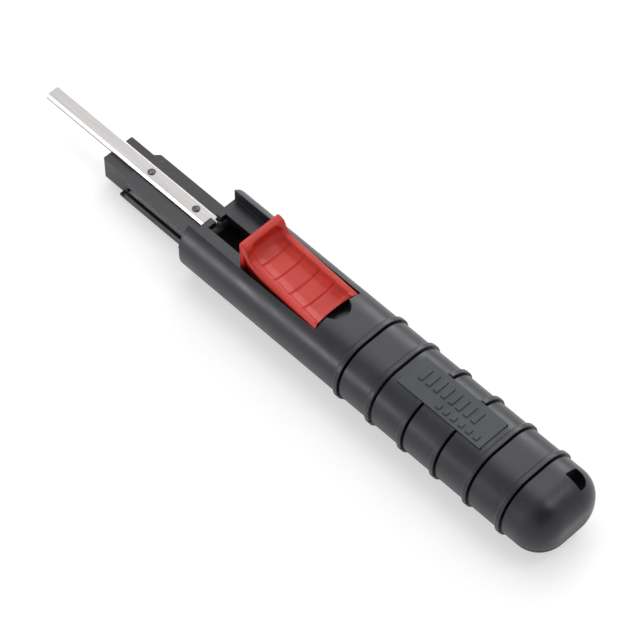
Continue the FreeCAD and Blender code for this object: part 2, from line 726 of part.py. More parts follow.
def lower_nose_guide():
    body = new_body("lower_nose_guide")
    under = down("tray_drop")
    front = f"({NOSE_FRONT} - {of('tray_setback')})"
    tray = slab(body, "tray", (GUIDE_REAR, front), either_side(of("tray_width")),
                (under, f"{STRIP_UNDER} + {of('tray_lip')}"))
    level = measure(under)
    soften(body, "tray_belly", "Chamfer", tray, of("tray_edge"),
           lambda edge: lengthwise(edge) and abs(edge.Vertexes[0].Z - level) < 1e-4)
    recess(body, "strip_seat", (f"{GUIDE_REAR} - {OVER}", f"{BLOCK_REAR} + {OVER}"),
           either_side(f"{of('strip_width')} + 2 * {of('pin_gap')}"), (STRIP_UNDER, FAR))
    recess(body, "block_seat", (BLOCK_REAR, f"{front} + {OVER}"), either_side(FAR),
           (down("block_drop"), FAR))
    rivet_holes(body, (f"{under} - {OVER}", f"{STRIP_UNDER} + {OVER}"))
    return body


def spine_strip():
    body = new_body("spine_strip")
    slab(body, "spine", (f"{LEG_REAR} - {of('screw_diameter')}", f"{BLOCK_REAR} - {of('slide_gap')}"),
         either_side(of("strip_width")), (STRIP_UNDER, STRIP_TOP))
    rivet_holes(body, (f"{STRIP_UNDER} - {OVER}", f"{STRIP_TOP} + {OVER}"))
    for name, along in (("front", LEG_SCREW_FRONT), ("rear", LEG_SCREW_REAR)):
        bore(body, f"spine_screw_hole_{name}", along, "0",
             (f"{STRIP_UNDER} - {OVER}", f"{STRIP_TOP} + {OVER}"),
             f"{of('screw_diameter')} + 2 * {of('pin_gap')}")
    return body


def rivet(name, along):
    """Shank through the strip and the whole nose, with a low flat head on the strip."""
    foot = f"{down('tray_drop')} + {of('rivet_head_height')}"
    shank = post(name + "_shank", along, "0", (foot, BLADE_TOP), of("rivet_diameter"))
    head = post(name + "_head", along, "0",
                (f"{BLADE_TOP} - {ROOT}", f"{BLADE_TOP} + {of('rivet_head_height')}"),
                f"{of('rivet_diameter')} - {ROOT}")
    return join(name, [shank, head])


# ---------------------------------------------------------------------------
# Sled, thumb slide and the screws that join them
# ---------------------------------------------------------------------------
def sled():
    body = new_body("sled_form")
    block = slab(body, "sled_block", (SLED_REAR, GUIDE_REAR), either_side(of("nose_width")),
                 (STRIP_TOP, SLED_TOP))
    soften(body, "sled_corners", "Chamfer", block, of("sled_corner"), upright)
    recess(body, "sled_tail_slot", (f"{SLED_REAR} - {OVER}", f"{SLED_REAR} + {of('sled_slot')}"),
           either_side(f"{of('spring_diameter')} + 4 * {of('slide_gap')}"),
           (f"{STRIP_TOP} - {OVER}", f"{SLED_TOP} + {OVER}"))
    for name, along in (("front", LEG_SCREW_FRONT), ("rear", LEG_SCREW_REAR)):
        bore(body, f"sled_screw_hole_{name}", along, "0", (f"{STRIP_TOP} - {OVER}", f"{SLED_TOP} + {OVER}"),
             f"{of('screw_diameter')} + 2 * {of('pin_gap')}")
    return cut("sled", body, [
        cross_pin("sled_pin_hole", SPRING_FRONT, f"{of('nose_width')}", SPRING_LINE,
                  f"{of('pin_diameter')} + 2 * {of('pin_gap')}")])


def glide(name, side):
    """Flat strip under one edge of the sled, beside the spine strip."""
    low = f"({of('strip_width')} / 2 + {of('slide_gap')})"
    high = f"({low} + {of('glide_width')})"
    across = (low, high) if side == "left" else (f"-{high}", f"-{low}")
    return box(name, (f"{SLED_REAR} + {of('sled_slot')}", f"{GUIDE_REAR} - {of('stop_gap')}"), across,
               (f"{STRIP_TOP} - {of('glide_thickness')}", STRIP_TOP))


def thumb_slider():
    body = new_body("slider_form")
    foot = f"{FLOOR_TOP} + {of('slide_gap')}"
    tail, knee, top = up("slider_tail_rise"), up("slider_knee_rise"), up("slider_rise")
    wall = of("slider_wall")
    sketch = sketch_on(body, "slider_profile", "XZ_Plane", (SLIDER_REAR, foot, "0"))
    length = of("slider_length")
    draw_outline(sketch, [
        (length, "0"),
        (length, f"{top} - ({foot})"),
        (f"{length} - {of('slider_land')} * 0.8", f"{top} - ({foot}) - 1.2"),
        (f"{length} - {of('slider_land')} * 1.1", f"{top} - ({foot}) - 4.3"),
        (f"{length} - {of('slider_heel')}", f"{knee} - ({foot})"),
        (f"{length} * 0.67", f"({knee} - {tail}) * 0.7 + {tail} - ({foot})"),
        ("0", f"{tail} - ({foot})"),
        ("0.6", f"{tail} - ({foot}) - {wall} * 0.8"),
        (f"{length} * 0.4", f"{tail} - ({foot}) - {wall} * 0.45"),
        (f"{length} * 0.72", f"{tail} - ({foot}) + 0.6"),
        (f"{length} - {of('slider_heel')} + 0.8", f"{knee} - ({foot}) - {wall}"),
        (f"{length} - {wall} - 0.3", f"{top} - ({foot}) - {wall} * 1.8"),
        (f"{length} - {wall}", "0"),
    ])
    shell = pad(body, "slider_shell", sketch, SLIDER_WIDTH)
    shell.SideType = "Symmetric"
    # narrower at the front than at the rear
    taper = of("slider_taper")
    reach = f"{SLIDER_WIDTH} / 2"
    for side, sign in (("left", "1"), ("right", "-1")):
        wedge = sketch_on(body, f"slider_wedge_{side}", "XY_Plane", (SLIDER_REAR, "0", FAR))
        draw_outline(wedge, [
            ("0", f"{sign} * ({reach})"),
            (f"{length} + {OVER}", f"{sign} * ({reach} - {taper})"),
            (f"{length} + {OVER}", f"{sign} * ({reach} + {OVER})"),
        ])
        pocket(body, f"slider_taper_{side}", wedge, FAR)

    # the leg goes down through the well and stands on the sled
    leg = box("slider_leg", (LEG_REAR, SLIDER_FRONT), either_side(LEG_WIDTH),
              (SLED_TOP, f"{foot} + {OVER}"))
    # a rib over the leg and a skirt inside each edge fill the wedge under the top
    skirt_side = f"({reach} - {taper} - {of('skirt_inset')})"
    webs = []
    for name, low, width in (
        ("rib", f"-{LEG_WIDTH} / 2", LEG_WIDTH),
        ("skirt_left", f"{skirt_side} - {of('skirt_wall')}", of("skirt_wall")),
        ("skirt_right", f"-{skirt_side}", of("skirt_wall")),
    ):
        # the sketch's own axis points to -Y, so its offset is the far side of the web
        web = new_body(f"slider_{name}")
        profile = sketch_on(web, f"slider_{name}_profile", "XZ_Plane",
                            (SLIDER_REAR, foot, f"-({low}) - ({width})"))
        draw_outline(profile, [
            (f"{length} - {of('leg_length')}", "0"),
            (f"{length} - {wall} * 0.5", "0"),
            (f"{length} - {wall} * 0.5", f"{top} - ({foot}) - {wall} * 1.2"),
            (f"{length} - {of('slider_heel')} + 0.4", f"{knee} - ({foot}) - {wall} * 0.6"),
            (f"{length} * 0.67", f"({knee} - {tail}) * 0.7 + {tail} - ({foot}) - {wall} * 0.6"),
            (f"{length} - {of('leg_length')}", f"{tail} - ({foot})"),
        ])
        pad(web, f"slider_{name}_pad", profile, width)
        webs.append(web)

    # the dish for the thumb: a wide shallow cylinder that follows the slope of the top
    half, depth = f"({of('dish_width')} / 2)", of("dish_depth")
    radius = f"(({half} * {half} + {depth} * {depth}) / (2 * {depth}))"
    slope = measure(f"atan(({knee} - {tail}) / ({length} - {of('slider_heel')}))")
    dish = doc.addObject("Part::Cylinder", "thumb_dish")
    dish.setExpression("Radius", radius)
    dish.setExpression("Height", f"{length} * 2")
    dish.Placement.Rotation = FreeCAD.Rotation(FreeCAD.Vector(0, 1, 0), -90 - slope)
    dish.setExpression("Placement.Base.x", f"{SLIDER_FRONT} - {of('slider_heel')}")
    dish.setExpression("Placement.Base.z", f"{knee} + {radius} - {depth}")

    whole = join("slider_whole", [body, leg] + webs)
    holes = [dish]
    for name, along in (("front", LEG_SCREW_FRONT), ("rear", LEG_SCREW_REAR)):
        holes.append(post(f"leg_pilot_{name}", along, "0",
                          (f"{SLED_TOP} - {OVER}",
                           f"{SLED_TOP} + {of('slider_screw_depth')} + {of('stop_gap')}"),
                          f"{of('screw_diameter')} + 2 * {of('pin_gap')}"))
    return cut("thumb_slider", whole, holes)


def screw(name, along, across, seat, tip):
    """Pan-head screw with a cross recess, its head below the seat and its tip above."""
    head = of("screw_head")
    low = f"({seat} - {of('screw_head_height')})"
    solid = join(name + "_solid", [
        post(name + "_head", along, across, (low, seat), head),
        post(name + "_shank", along, across, (f"{seat} - {ROOT}", tip), of("screw_diameter")),
    ])
    depth = (f"{low} - {OVER}", f"{low} + {of('screw_cross_depth')}")
    arm, slot = f"{of('screw_cross')} / 2", f"{of('screw_cross_width')} / 2"
    cross = [
        box(name + "_cross_1", (f"{along} - {arm}", f"{along} + {arm}"),
            (f"{across} - {slot}", f"{across} + {slot}"), depth),
        box(name + "_cross_2", (f"{along} - {slot}", f"{along} + {slot}"),
            (f"{across} - {arm}", f"{across} + {arm}"), depth),
    ]
    return cut(name, solid, cross)


# ---------------------------------------------------------------------------
# Spring
# ---------------------------------------------------------------------------
def return_spring():
    """Close coil between two hook rings, one round each cross pin."""
    wire = of("spring_wire")
    hook_radius = f"({of('pin_diameter')} / 2 + {wire} / 2 + {of('slide_gap')})"
    coil_radius = f"(({of('spring_diameter')} - {wire}) / 2)"
    coil_start = f"({SPRING_REAR} + {hook_radius})"
    coil_end = f"({SPRING_FRONT} - {hook_radius})"
    coil_length = f"({coil_end} - {coil_start})"
    path = doc.addObject("Part::Helix", "spring_path")
    path.setExpression("Radius", coil_radius)
    path.setExpression("Height", coil_length)
    path.setExpression("Pitch", f"{coil_length} / {of('spring_turns')}")
    path.Placement.Rotation = FreeCAD.Rotation(FreeCAD.Vector(0, 1, 0), 90)
    path.setExpression("Placement.Base.x", coil_start)
    path.setExpression("Placement.Base.z", SPRING_LINE)
    profile = doc.addObject("Part::Circle", "spring_wire_profile")
    profile.Placement.Rotation = FreeCAD.Rotation(FreeCAD.Vector(1, 0, 0), 90)
    profile.setExpression("Radius", f"{wire} / 2")
    profile.setExpression("Placement.Base.x", coil_start)
    profile.setExpression("Placement.Base.z", f"{SPRING_LINE} - {coil_radius}")
    coil = doc.addObject("Part::Sweep", "spring_coil")
    coil.Sections = [profile]
    coil.Spine = (path, ["Edge1"])
    coil.Solid = True
    coil.Frenet = True
    ends = []
    for name, along, last_turn in (("rear", SPRING_REAR, coil_start), ("front", SPRING_FRONT, coil_end)):
        hook = doc.addObject("Part::Torus", f"spring_hook_{name}")
        hook.Placement.Rotation = FreeCAD.Rotation(FreeCAD.Vector(1, 0, 0), 90)
        hook.setExpression("Radius1", hook_radius)
        hook.setExpression("Radius2", f"{wire} / 2")
        hook.setExpression("Placement.Base.x", along)
        hook.setExpression("Placement.Base.z", SPRING_LINE)
        ends.append(hook)
        # the last turn bends up to the middle of the coil and becomes the hook
        ends.append(post(f"spring_leg_{name}", last_turn, "0",
                         (f"{SPRING_LINE} - {coil_radius} - {wire} / 2", f"{SPRING_LINE} + {wire} / 2"),
                         f"{wire} + 2 * {of('pin_gap')}"))
    return join("return_spring", [coil] + ends)


# ---------------------------------------------------------------------------
# Assembly: every sub-part by the name of its node
# ---------------------------------------------------------------------------
SUB_PARTS = {
    "upper_shell": upper_shell(),
    "lower_shell": lower_shell(),
    "thumb_slider": thumb_slider(),
    "sled": sled(),
    "blade": blade(),
    "upper_nose_guide": upper_nose_guide(),
    "lower_nose_guide": lower_nose_guide(),
    "spine_strip": spine_strip(),
    "blade_rivet_front": rivet("blade_rivet_front", RIVET_FRONT),
    "blade_rivet_rear": rivet("blade_rivet_rear", RIVET_REAR),
    "spring_pin_front": cross_pin("spring_pin_front", SPRING_FRONT, f"{of('nose_width')} / 2 - {ROOT}",
                                  SPRING_LINE, of("pin_diameter")),
    "spring_pin_rear": cross_pin("spring_pin_rear", SPRING_REAR, EAR_SIDE, SPRING_LINE, of("pin_diameter")),
    "return_spring": return_spring(),
}
for side in ("left", "right"):
    SUB_PARTS[f"sled_glide_{side}"] = glide(f"sled_glide_{side}", side)
for place, along in (("front", LEG_SCREW_FRONT), ("rear", LEG_SCREW_REAR)):
    SUB_PARTS[f"slider_screw_{place}"] = screw(f"slider_screw_{place}", along, "0", STRIP_UNDER,
                                               f"{SLED_TOP} + {of('slider_screw_depth')}")
for count, (along, across) in enumerate(SCREW_PLACES, start=1):
    SUB_PARTS[f"shell_screw_{count}"] = screw(f"shell_screw_{count}", along, across, SCREW_SEAT,
                                              f"{SCREW_SEAT} + {of('screw_length')}")

doc.recompute()
for item in doc.Objects:
    if "Invalid" in item.State or "Error" in item.State:
        raise ValueError(f"{item.Label} failed: {item.State}")
os.makedirs("parts", exist_ok=True)
for node, item in SUB_PARTS.items():
    item.Label = node
    if item.Shape.isNull() or not item.Shape.isValid():
        raise ValueError(f"{node} has no valid shape")
    if len(item.Shape.Solids) != 1:
        raise ValueError(f"{node} has {len(item.Shape.Solids)} solids")
    item.Shape.exportStep(f"parts/{node}.step")
    print(node, round(item.Shape.Volume, 1))
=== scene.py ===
"""Looks of the plug release tool: dark ribbed handle, red thumb slide, steel strip on a dark nose."""

import math

import bmesh
import bpy
from mathutils import Matrix, Vector


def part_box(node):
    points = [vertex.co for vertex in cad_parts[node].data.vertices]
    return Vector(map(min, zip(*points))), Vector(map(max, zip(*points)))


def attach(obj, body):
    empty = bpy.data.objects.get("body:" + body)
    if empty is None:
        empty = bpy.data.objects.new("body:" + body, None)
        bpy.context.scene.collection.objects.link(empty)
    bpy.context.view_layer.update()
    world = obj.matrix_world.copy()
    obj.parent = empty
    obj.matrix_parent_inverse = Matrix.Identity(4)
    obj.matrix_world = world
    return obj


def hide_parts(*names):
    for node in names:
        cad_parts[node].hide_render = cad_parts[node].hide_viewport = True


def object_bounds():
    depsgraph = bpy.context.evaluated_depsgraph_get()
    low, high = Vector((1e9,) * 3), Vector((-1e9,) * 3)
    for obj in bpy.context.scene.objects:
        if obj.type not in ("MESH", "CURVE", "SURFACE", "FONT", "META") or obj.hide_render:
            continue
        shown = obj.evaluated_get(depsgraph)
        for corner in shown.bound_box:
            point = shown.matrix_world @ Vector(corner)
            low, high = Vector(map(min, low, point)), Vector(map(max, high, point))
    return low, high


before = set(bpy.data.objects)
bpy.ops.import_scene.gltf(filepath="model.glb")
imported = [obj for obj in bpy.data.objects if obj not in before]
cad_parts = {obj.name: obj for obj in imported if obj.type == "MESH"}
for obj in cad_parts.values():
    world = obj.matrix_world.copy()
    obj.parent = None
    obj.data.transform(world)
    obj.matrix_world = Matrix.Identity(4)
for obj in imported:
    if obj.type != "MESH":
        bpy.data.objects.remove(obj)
cad_low, cad_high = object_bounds()

MM = 0.001

# ---------------------------------------------------------------------------
# Places, read from the frame. X runs to the strip's tip, Y is across, Z is up.
# ---------------------------------------------------------------------------
slide_low, slide_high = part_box("thumb_slider")
STRIP_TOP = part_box("blade")[1].z
shell_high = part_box("upper_shell")[1]

RING_HEIGHT = 0.8 * MM
CROWN_RISE = 11.7 * MM
FLOOR_RISE = 5.1 * MM
SLIDE_GAP = 0.3 * MM
SEAM_DROP = 3.6 * MM

CROWN = shell_high.z - RING_HEIGHT
AXIS = CROWN - CROWN_RISE
MOUTH = shell_high.x
CHANNEL_FLOOR = AXIS + FLOOR_RISE
SLIDE_FOOT = CHANNEL_FLOOR + SLIDE_GAP

PLAQUE_FRONT = MOUTH - 87.4 * MM
PLAQUE_LENGTH = 34.2 * MM
PLAQUE_WIDTH = 12.4 * MM
SEAM = AXIS - SEAM_DROP
SEAM_MIDDLE = SEAM - 0.3 * MM
# half height of the band of painted shade along the seam groove
SEAM_SHADE_HALF = 0.42 * MM

# the butt side of the ring nearest the mouth, and the share of the pitch behind each ring that gets painted
# shade
RING_BACK = MOUTH - 71.1 * MM
RING_PITCH = 13.6 * MM
RING_COUNT = 6
RING_SHADE_ENDS, RING_SHADE_FADES = 0.052, 0.040


# ---------------------------------------------------------------------------
# Node helpers
# ---------------------------------------------------------------------------
class Wiring:
    """A node tree, with short calls to add and join nodes."""

    def __init__(self, tree):
        self.tree = tree

    def add(self, kind, values=None, **settings):
        node = self.tree.nodes.new(kind)
        for name, value in settings.items():
            setattr(node, name, value)
        for socket, value in (values or {}).items():
            self.feed(node.inputs[socket], value)
        return node

    def feed(self, socket, value):
        """Join an output to the socket, or set the socket to a plain value."""
        if isinstance(value, bpy.types.NodeSocket):
            self.tree.links.new(value, socket)
        else:
            socket.default_value = value

    def maths(self, operation, first, second=0.0, third=0.0, clamp=False):
        node = self.add("ShaderNodeMath", {0: first, 1: second, 2: third}, operation=operation)
        node.use_clamp = clamp
        return node.outputs[0]

    def ramp(self, value, low, high, to_low=0.0, to_high=1.0):
        """Value spread from one range to another, held inside it."""
        node = self.add("ShaderNodeMapRange", {0: value, 1: low, 2: high, 3: to_low, 4: to_high})
        return node.outputs[0]

    def blend(self, share, first, second, kind="MIX"):
        node = self.add("ShaderNodeMix", data_type="RGBA", blend_type=kind)
        for socket, value in ((node.inputs[0], share), (node.inputs[6], first), (node.inputs[7], second)):
            self.feed(socket, value)
        return node.outputs[2]

    def noise(self, place, scale, detail=3.0, rough=0.5):
        node = self.add("ShaderNodeTexNoise",
                        {"Vector": place, "Scale": scale, "Detail": detail, "Roughness": rough})
        return node.outputs["Fac"]

    def place(self):
        return self.add("ShaderNodeTexCoord").outputs["Object"]

    def stretched(self, place, along, across, up):
        node = self.add("ShaderNodeMapping", {"Vector": place, "Scale": (along, across, up)})
        return node.outputs[0]


def effect(name, inputs, outputs):
    """Shader node group with named inputs and outputs; returns it wired up for filling in."""
    tree = bpy.data.node_groups.new(name, "ShaderNodeTree")
    for label, value in inputs.items():
        kind = "NodeSocketVector" if isinstance(value, tuple) else "NodeSocketFloat"
        socket = tree.interface.new_socket(label, in_out="INPUT", socket_type=kind)
        socket.default_value = value
    for label, kind in outputs.items():
        tree.interface.new_socket(label, in_out="OUTPUT", socket_type=f"NodeSocket{kind}")
    wires = Wiring(tree)
    start = wires.add("NodeGroupInput").outputs
    end = wires.add("NodeGroupOutput").inputs
    return tree, wires, start, end


# ---------------------------------------------------------------------------
# Shared effects
# ---------------------------------------------------------------------------
def make_spark_grain():
    """Fine spark-eroded texture of a mould, with a broad mottle in how it filled."""
    tree, wires, start, end = effect(
        "spark_grain", {"Grain Size": 0.25, "Mottle Size": 9.0},
        {"Height": "Float", "Mottle": "Float"})
    spot = wires.place()
    fine = wires.maths("DIVIDE", 1000.0, start["Grain Size"])
    broad = wires.maths("DIVIDE", 1000.0, start["Mottle Size"])
    small = wires.noise(spot, fine, 2.0, 0.6)
    smaller = wires.noise(spot, wires.maths("MULTIPLY", fine, 2.7), 1.0, 0.5)
    wires.feed(end["Height"], wires.maths("MULTIPLY_ADD", smaller, 0.45, small))
    wires.feed(end["Mottle"], wires.noise(spot, broad, 4.0, 0.6))
    return tree


def make_rubbed_edge():
    """Mask of the convex and concave edges within a reach, broken up as by handling, and the
    surface's normal rounded over the same edges."""
    tree, wires, start, end = effect(
        "rubbed_edge", {"Reach": 0.35, "Breakup": 0.5}, {"Mask": "Float", "Normal": "Vector"})
    reach = wires.maths("MULTIPLY", start["Reach"], MM)
    rounded = wires.add("ShaderNodeBevel", {"Radius": reach}, samples=4).outputs[0]
    flat = wires.add("ShaderNodeNewGeometry").outputs["Normal"]
    together = wires.add("ShaderNodeVectorMath", {0: rounded, 1: flat}, operation="DOT_PRODUCT")
    turned = wires.ramp(together.outputs["Value"], 0.995, 0.86)
    worn = wires.ramp(wires.noise(wires.place(), 420.0, 3.0, 0.6), 0.35, 0.65)
    kept = wires.maths("MULTIPLY_ADD", start["Breakup"], wires.maths("SUBTRACT", worn, 1.0), 1.0)
    wires.feed(end["Mask"], wires.maths("MULTIPLY", turned, kept, clamp=True))
    wires.feed(end["Normal"], rounded)
    return tree


def make_handling():
    """Marks of use: polished patches, hair scratches and settled dust."""
    tree, wires, start, end = effect(
        "handling_marks", {"Patch Size": 14.0, "Scratches": 0.5, "Dust": 0.5},
        {"Polish": "Float", "Scratch": "Float", "Dust": "Float"})
    spot = wires.place()
    patch = wires.noise(spot, wires.maths("DIVIDE", 1000.0, start["Patch Size"]), 3.0, 0.55)
    wires.feed(end["Polish"], wires.ramp(patch, 0.42, 0.66))
    marks = None
    for turn, density in ((0.35, 150.0), (-0.6, 210.0)):
        laid = wires.add("ShaderNodeMapping", {"Vector": spot, "Rotation": (0.0, 0.0, turn),
                                               "Scale": (density * 0.12, density * 6.0, density * 6.0)})
        line = wires.ramp(wires.noise(laid.outputs[0], 1.0, 1.0, 0.4), 0.73, 0.78)
        marks = line if marks is None else wires.maths("MAXIMUM", marks, line)
    thin = wires.ramp(wires.noise(spot, 55.0, 1.0), 0.5, 0.62)
    sparse = wires.maths("MULTIPLY", marks, thin)
    wires.feed(end["Scratch"], wires.maths("MULTIPLY", sparse, start["Scratches"]))
    speck = wires.add("ShaderNodeTexVoronoi", {"Vector": spot, "Scale": 620.0}).outputs["Distance"]
    few = wires.ramp(wires.noise(spot, 240.0, 2.0), 0.55, 0.66)
    up = wires.add("ShaderNodeSeparateXYZ", {0: wires.add("ShaderNodeNewGeometry").outputs["Normal"]})
    lying = wires.ramp(up.outputs["Z"], 0.2, 0.9)
    grains = wires.maths("MULTIPLY", wires.maths("MULTIPLY", wires.ramp(speck, 0.16, 0.08), few), lying)
    wires.feed(end["Dust"], wires.maths("MULTIPLY", grains, start["Dust"]))
    return tree


def make_drawn_lines():
    """Lines left in strip steel by rolling, along the tool, with a faint stain."""
    tree, wires, start, end = effect(
        "drawn_lines", {"Line Width": 0.08}, {"Height": "Float", "Tone": "Float", "Stain": "Float"})
    spot = wires.place()
    pitch = wires.maths("DIVIDE", 1000.0, start["Line Width"])
    turned = wires.stretched(spot, 0.012, 1.0, 1.0)
    lines = wires.noise(turned, pitch, 3.0, 0.7)
    wires.feed(end["Height"], lines)
    wires.feed(end["Tone"], wires.noise(wires.stretched(spot, 0.05, 1.0, 1.0), 900.0, 2.0, 0.5))
    wires.feed(end["Stain"], wires.noise(spot, 160.0, 4.0, 0.6))
    return tree


SPARK_GRAIN = make_spark_grain()
RUBBED_EDGE = make_rubbed_edge()
HANDLING = make_handling()
DRAWN_LINES = make_drawn_lines()


# ---------------------------------------------------------------------------
# Finishes
# ---------------------------------------------------------------------------
def new_finish(name):
    material = bpy.data.materials.new(name)
    material.use_nodes = True
    wires = Wiring(material.node_tree)
    shader = next(node for node in material.node_tree.nodes if node.type == "BSDF_PRINCIPLED")
    return material, wires, shader


def use(wires, group, **values):
    node = wires.add("ShaderNodeGroup", node_tree=group)
    for name, value in values.items():
        wires.feed(node.inputs[name.replace("_", " ")], value)
    return node.outputs


def moulded_plastic(name, body, pale, roughness, grain=0.3, grain_height=0.012, edge=0.3,
                    rub=0.35, dust=0.35, scratches=0.4, gloss=0.5, sheen_spread=0.08):
    """Moulded plastic: body colour mottled towards the pale one, eased and rubbed edges."""
    material, wires, shader = new_finish(name)
    surface = use(wires, SPARK_GRAIN, Grain_Size=grain)
    edges = use(wires, RUBBED_EDGE, Reach=edge)
    marks = use(wires, HANDLING, Scratches=scratches, Dust=dust)
    mottled = wires.blend(wires.ramp(surface["Mottle"], 0.3, 0.7, 0.0, 0.35), body, pale)
    scratched = wires.blend(marks["Scratch"], mottled, pale)
    rubbed = wires.blend(wires.maths("MULTIPLY", edges["Mask"], rub), scratched, pale)
    dusty = wires.blend(marks["Dust"], rubbed, (0.45, 0.43, 0.40, 1.0))
    wires.feed(shader.inputs["Base Color"], dusty)
    half_spread = sheen_spread / 2
    spread = wires.ramp(surface["Mottle"], 0.3, 0.7, roughness - half_spread, roughness + half_spread)
    polished = wires.maths("MULTIPLY_ADD", marks["Polish"], -sheen_spread, spread)
    wires.feed(shader.inputs["Roughness"], wires.maths("MULTIPLY_ADD", marks["Dust"], 0.3, polished))
    bump = wires.add("ShaderNodeBump", {"Strength": 0.5, "Distance": grain_height * MM,
                                        "Height": surface["Height"], "Normal": edges["Normal"]})
    wires.feed(shader.inputs["Normal"], bump.outputs[0])
    shader.inputs["IOR"].default_value = 1.5
    shader.inputs["Specular IOR Level"].default_value = gloss
    return material, wires, shader, dusty


def steel(name, light, dark, roughness, lines=0.08, line_height=0.004, edge=0.15, upright_shade=0.0,
          banding=1.0, bevel_highlight=0.0, metal=1.0):
    """Rolled or turned steel with fine lines, faint stains and bright eased edges. One value darkens the
    upright faces with painted shade; another brightens the sloped bevels with a painted white highlight."""
    material, wires, shader = new_finish(name)
    drawn = use(wires, DRAWN_LINES, Line_Width=lines)
    edges = use(wires, RUBBED_EDGE, Reach=edge, Breakup=0.2)
    toned = wires.blend(wires.ramp(drawn["Tone"], 0.35, 0.65, 0.0, banding), light, dark)
    stained = wires.blend(wires.ramp(drawn["Stain"], 0.55, 0.8, 0.0, 0.4), toned, dark)
    facing = wires.add("ShaderNodeSeparateXYZ", {0: wires.add("ShaderNodeNewGeometry").outputs["Normal"]})
    slope = wires.maths("ABSOLUTE", facing.outputs["Z"])
    # painted light by facing: a white highlight on the sloped bevels and shade on the upright faces
    bevelled = wires.ramp(slope, 0.95, 0.85, 0.0, bevel_highlight)
    upright = wires.ramp(slope, 0.5, 0.2, 0.0, upright_shade)
    bevel_lit_colour = wires.blend(bevelled, stained, (0.98, 0.97, 0.95, 1.0))
    upright_shaded_colour = wires.blend(upright, bevel_lit_colour, (0.05, 0.05, 0.055, 1.0))
    wires.feed(shader.inputs["Base Color"],
               wires.blend(wires.maths("MULTIPLY", edges["Mask"], 1.0 - upright_shade), upright_shaded_colour, light))
    wires.feed(shader.inputs["Roughness"],
               wires.ramp(drawn["Tone"], 0.3, 0.7, roughness - 0.05, roughness + 0.06))
    shader.inputs["Metallic"].default_value = metal
    bump = wires.add("ShaderNodeBump", {"Strength": 0.4, "Distance": line_height * MM,
                                        "Height": drawn["Height"], "Normal": edges["Normal"]})
    wires.feed(shader.inputs["Normal"], bump.outputs[0])
    return material


def handle_finish():
    """The handle's plastic, with the plaque's face matter and a little greener, and painted shade in a band
    behind each ring and along the seam groove.
    """
    material, wires, shader, colour = moulded_plastic(
        "handle_black_plastic", (0.0065, 0.0070, 0.0110, 1.0), (0.024, 0.025, 0.036, 1.0), 0.38,
        grain=0.28, grain_height=0.012, edge=0.28, rub=0.6, dust=0.12, gloss=0.4)
    parts = wires.add("ShaderNodeSeparateXYZ", {0: wires.place()})
    middle = PLAQUE_FRONT - PLAQUE_LENGTH / 2
    masks = []
    for axis, centre, half in (("X", middle, PLAQUE_LENGTH / 2), ("Y", 0.0, PLAQUE_WIDTH / 2)):
        off = wires.maths("ABSOLUTE", wires.maths("SUBTRACT", parts.outputs[axis], centre))
        masks.append(wires.maths("LESS_THAN", off, half + 0.02 * MM))
    above = wires.maths("GREATER_THAN", parts.outputs["Z"], CROWN + 0.1 * MM)
    on_plaque = wires.maths("MULTIPLY", wires.maths("MULTIPLY", masks[0], masks[1]), above)
    # painted shade: a dark band just behind each ring, on its butt side, where the ring shades the shell
    count = wires.maths("DIVIDE", wires.maths("SUBTRACT", RING_BACK, parts.outputs["X"]), RING_PITCH)
    behind = wires.ramp(wires.maths("FRACT", count), RING_SHADE_ENDS, RING_SHADE_FADES)
    ringed = wires.maths("COMPARE", count, (RING_COUNT - 1) / 2, RING_COUNT / 2 - 0.1)
    off_plaque = wires.maths("SUBTRACT", 1.0, on_plaque)
    painted_shade = wires.maths("MULTIPLY", wires.maths("MULTIPLY", behind, ringed), off_plaque)
    # painted shade along the seam groove: a dark band round the shell at the seam's height
    under_seam = wires.maths("COMPARE", parts.outputs["Z"], SEAM_MIDDLE, SEAM_SHADE_HALF)
    painted_shade = wires.maths("MAXIMUM", painted_shade, under_seam)
    shaded_colour = wires.blend(painted_shade, colour, (0.0012, 0.0012, 0.0014, 1.0))
    wires.feed(shader.inputs["Base Color"],
               wires.blend(on_plaque, shaded_colour, (0.022, 0.027, 0.029, 1.0)))
    # the painted shade is also made metallic, so with its near-black colour it stays dark
    wires.feed(shader.inputs["Metallic"], painted_shade)
    satin = shader.inputs["Roughness"].links[0].from_socket
    wires.feed(shader.inputs["Roughness"], wires.maths("MULTIPLY_ADD", on_plaque, 0.14, satin))
    return material


def nose_finish():
    """The nose's plastic, black, with painted shade on its track where it runs inside the handle."""
    material, wires, shader, colour = moulded_plastic(
        "nose_black_plastic", (0.0065, 0.0070, 0.0100, 1.0), (0.026, 0.027, 0.034, 1.0), 0.42,
        grain=0.22, grain_height=0.010, edge=0.22, rub=0.55, gloss=0.4)
    parts = wires.add("ShaderNodeSeparateXYZ", {0: wires.place()})
    # painted shade inside the handle's mouth on the middle of the track, made metallic with a near-black
    # colour so it stays dark
    inside = wires.ramp(parts.outputs["X"], MOUTH - 1.0 * MM, MOUTH - 4.0 * MM)
    track = wires.ramp(wires.maths("ABSOLUTE", parts.outputs["Y"]), 4.9 * MM, 3.3 * MM)
    mouth_shade = wires.maths("MULTIPLY", inside, track)
    wires.feed(shader.inputs["Base Color"], wires.blend(mouth_shade, colour, (0.001, 0.001, 0.0012, 1.0)))
    wires.feed(shader.inputs["Metallic"], mouth_shade)
    return material


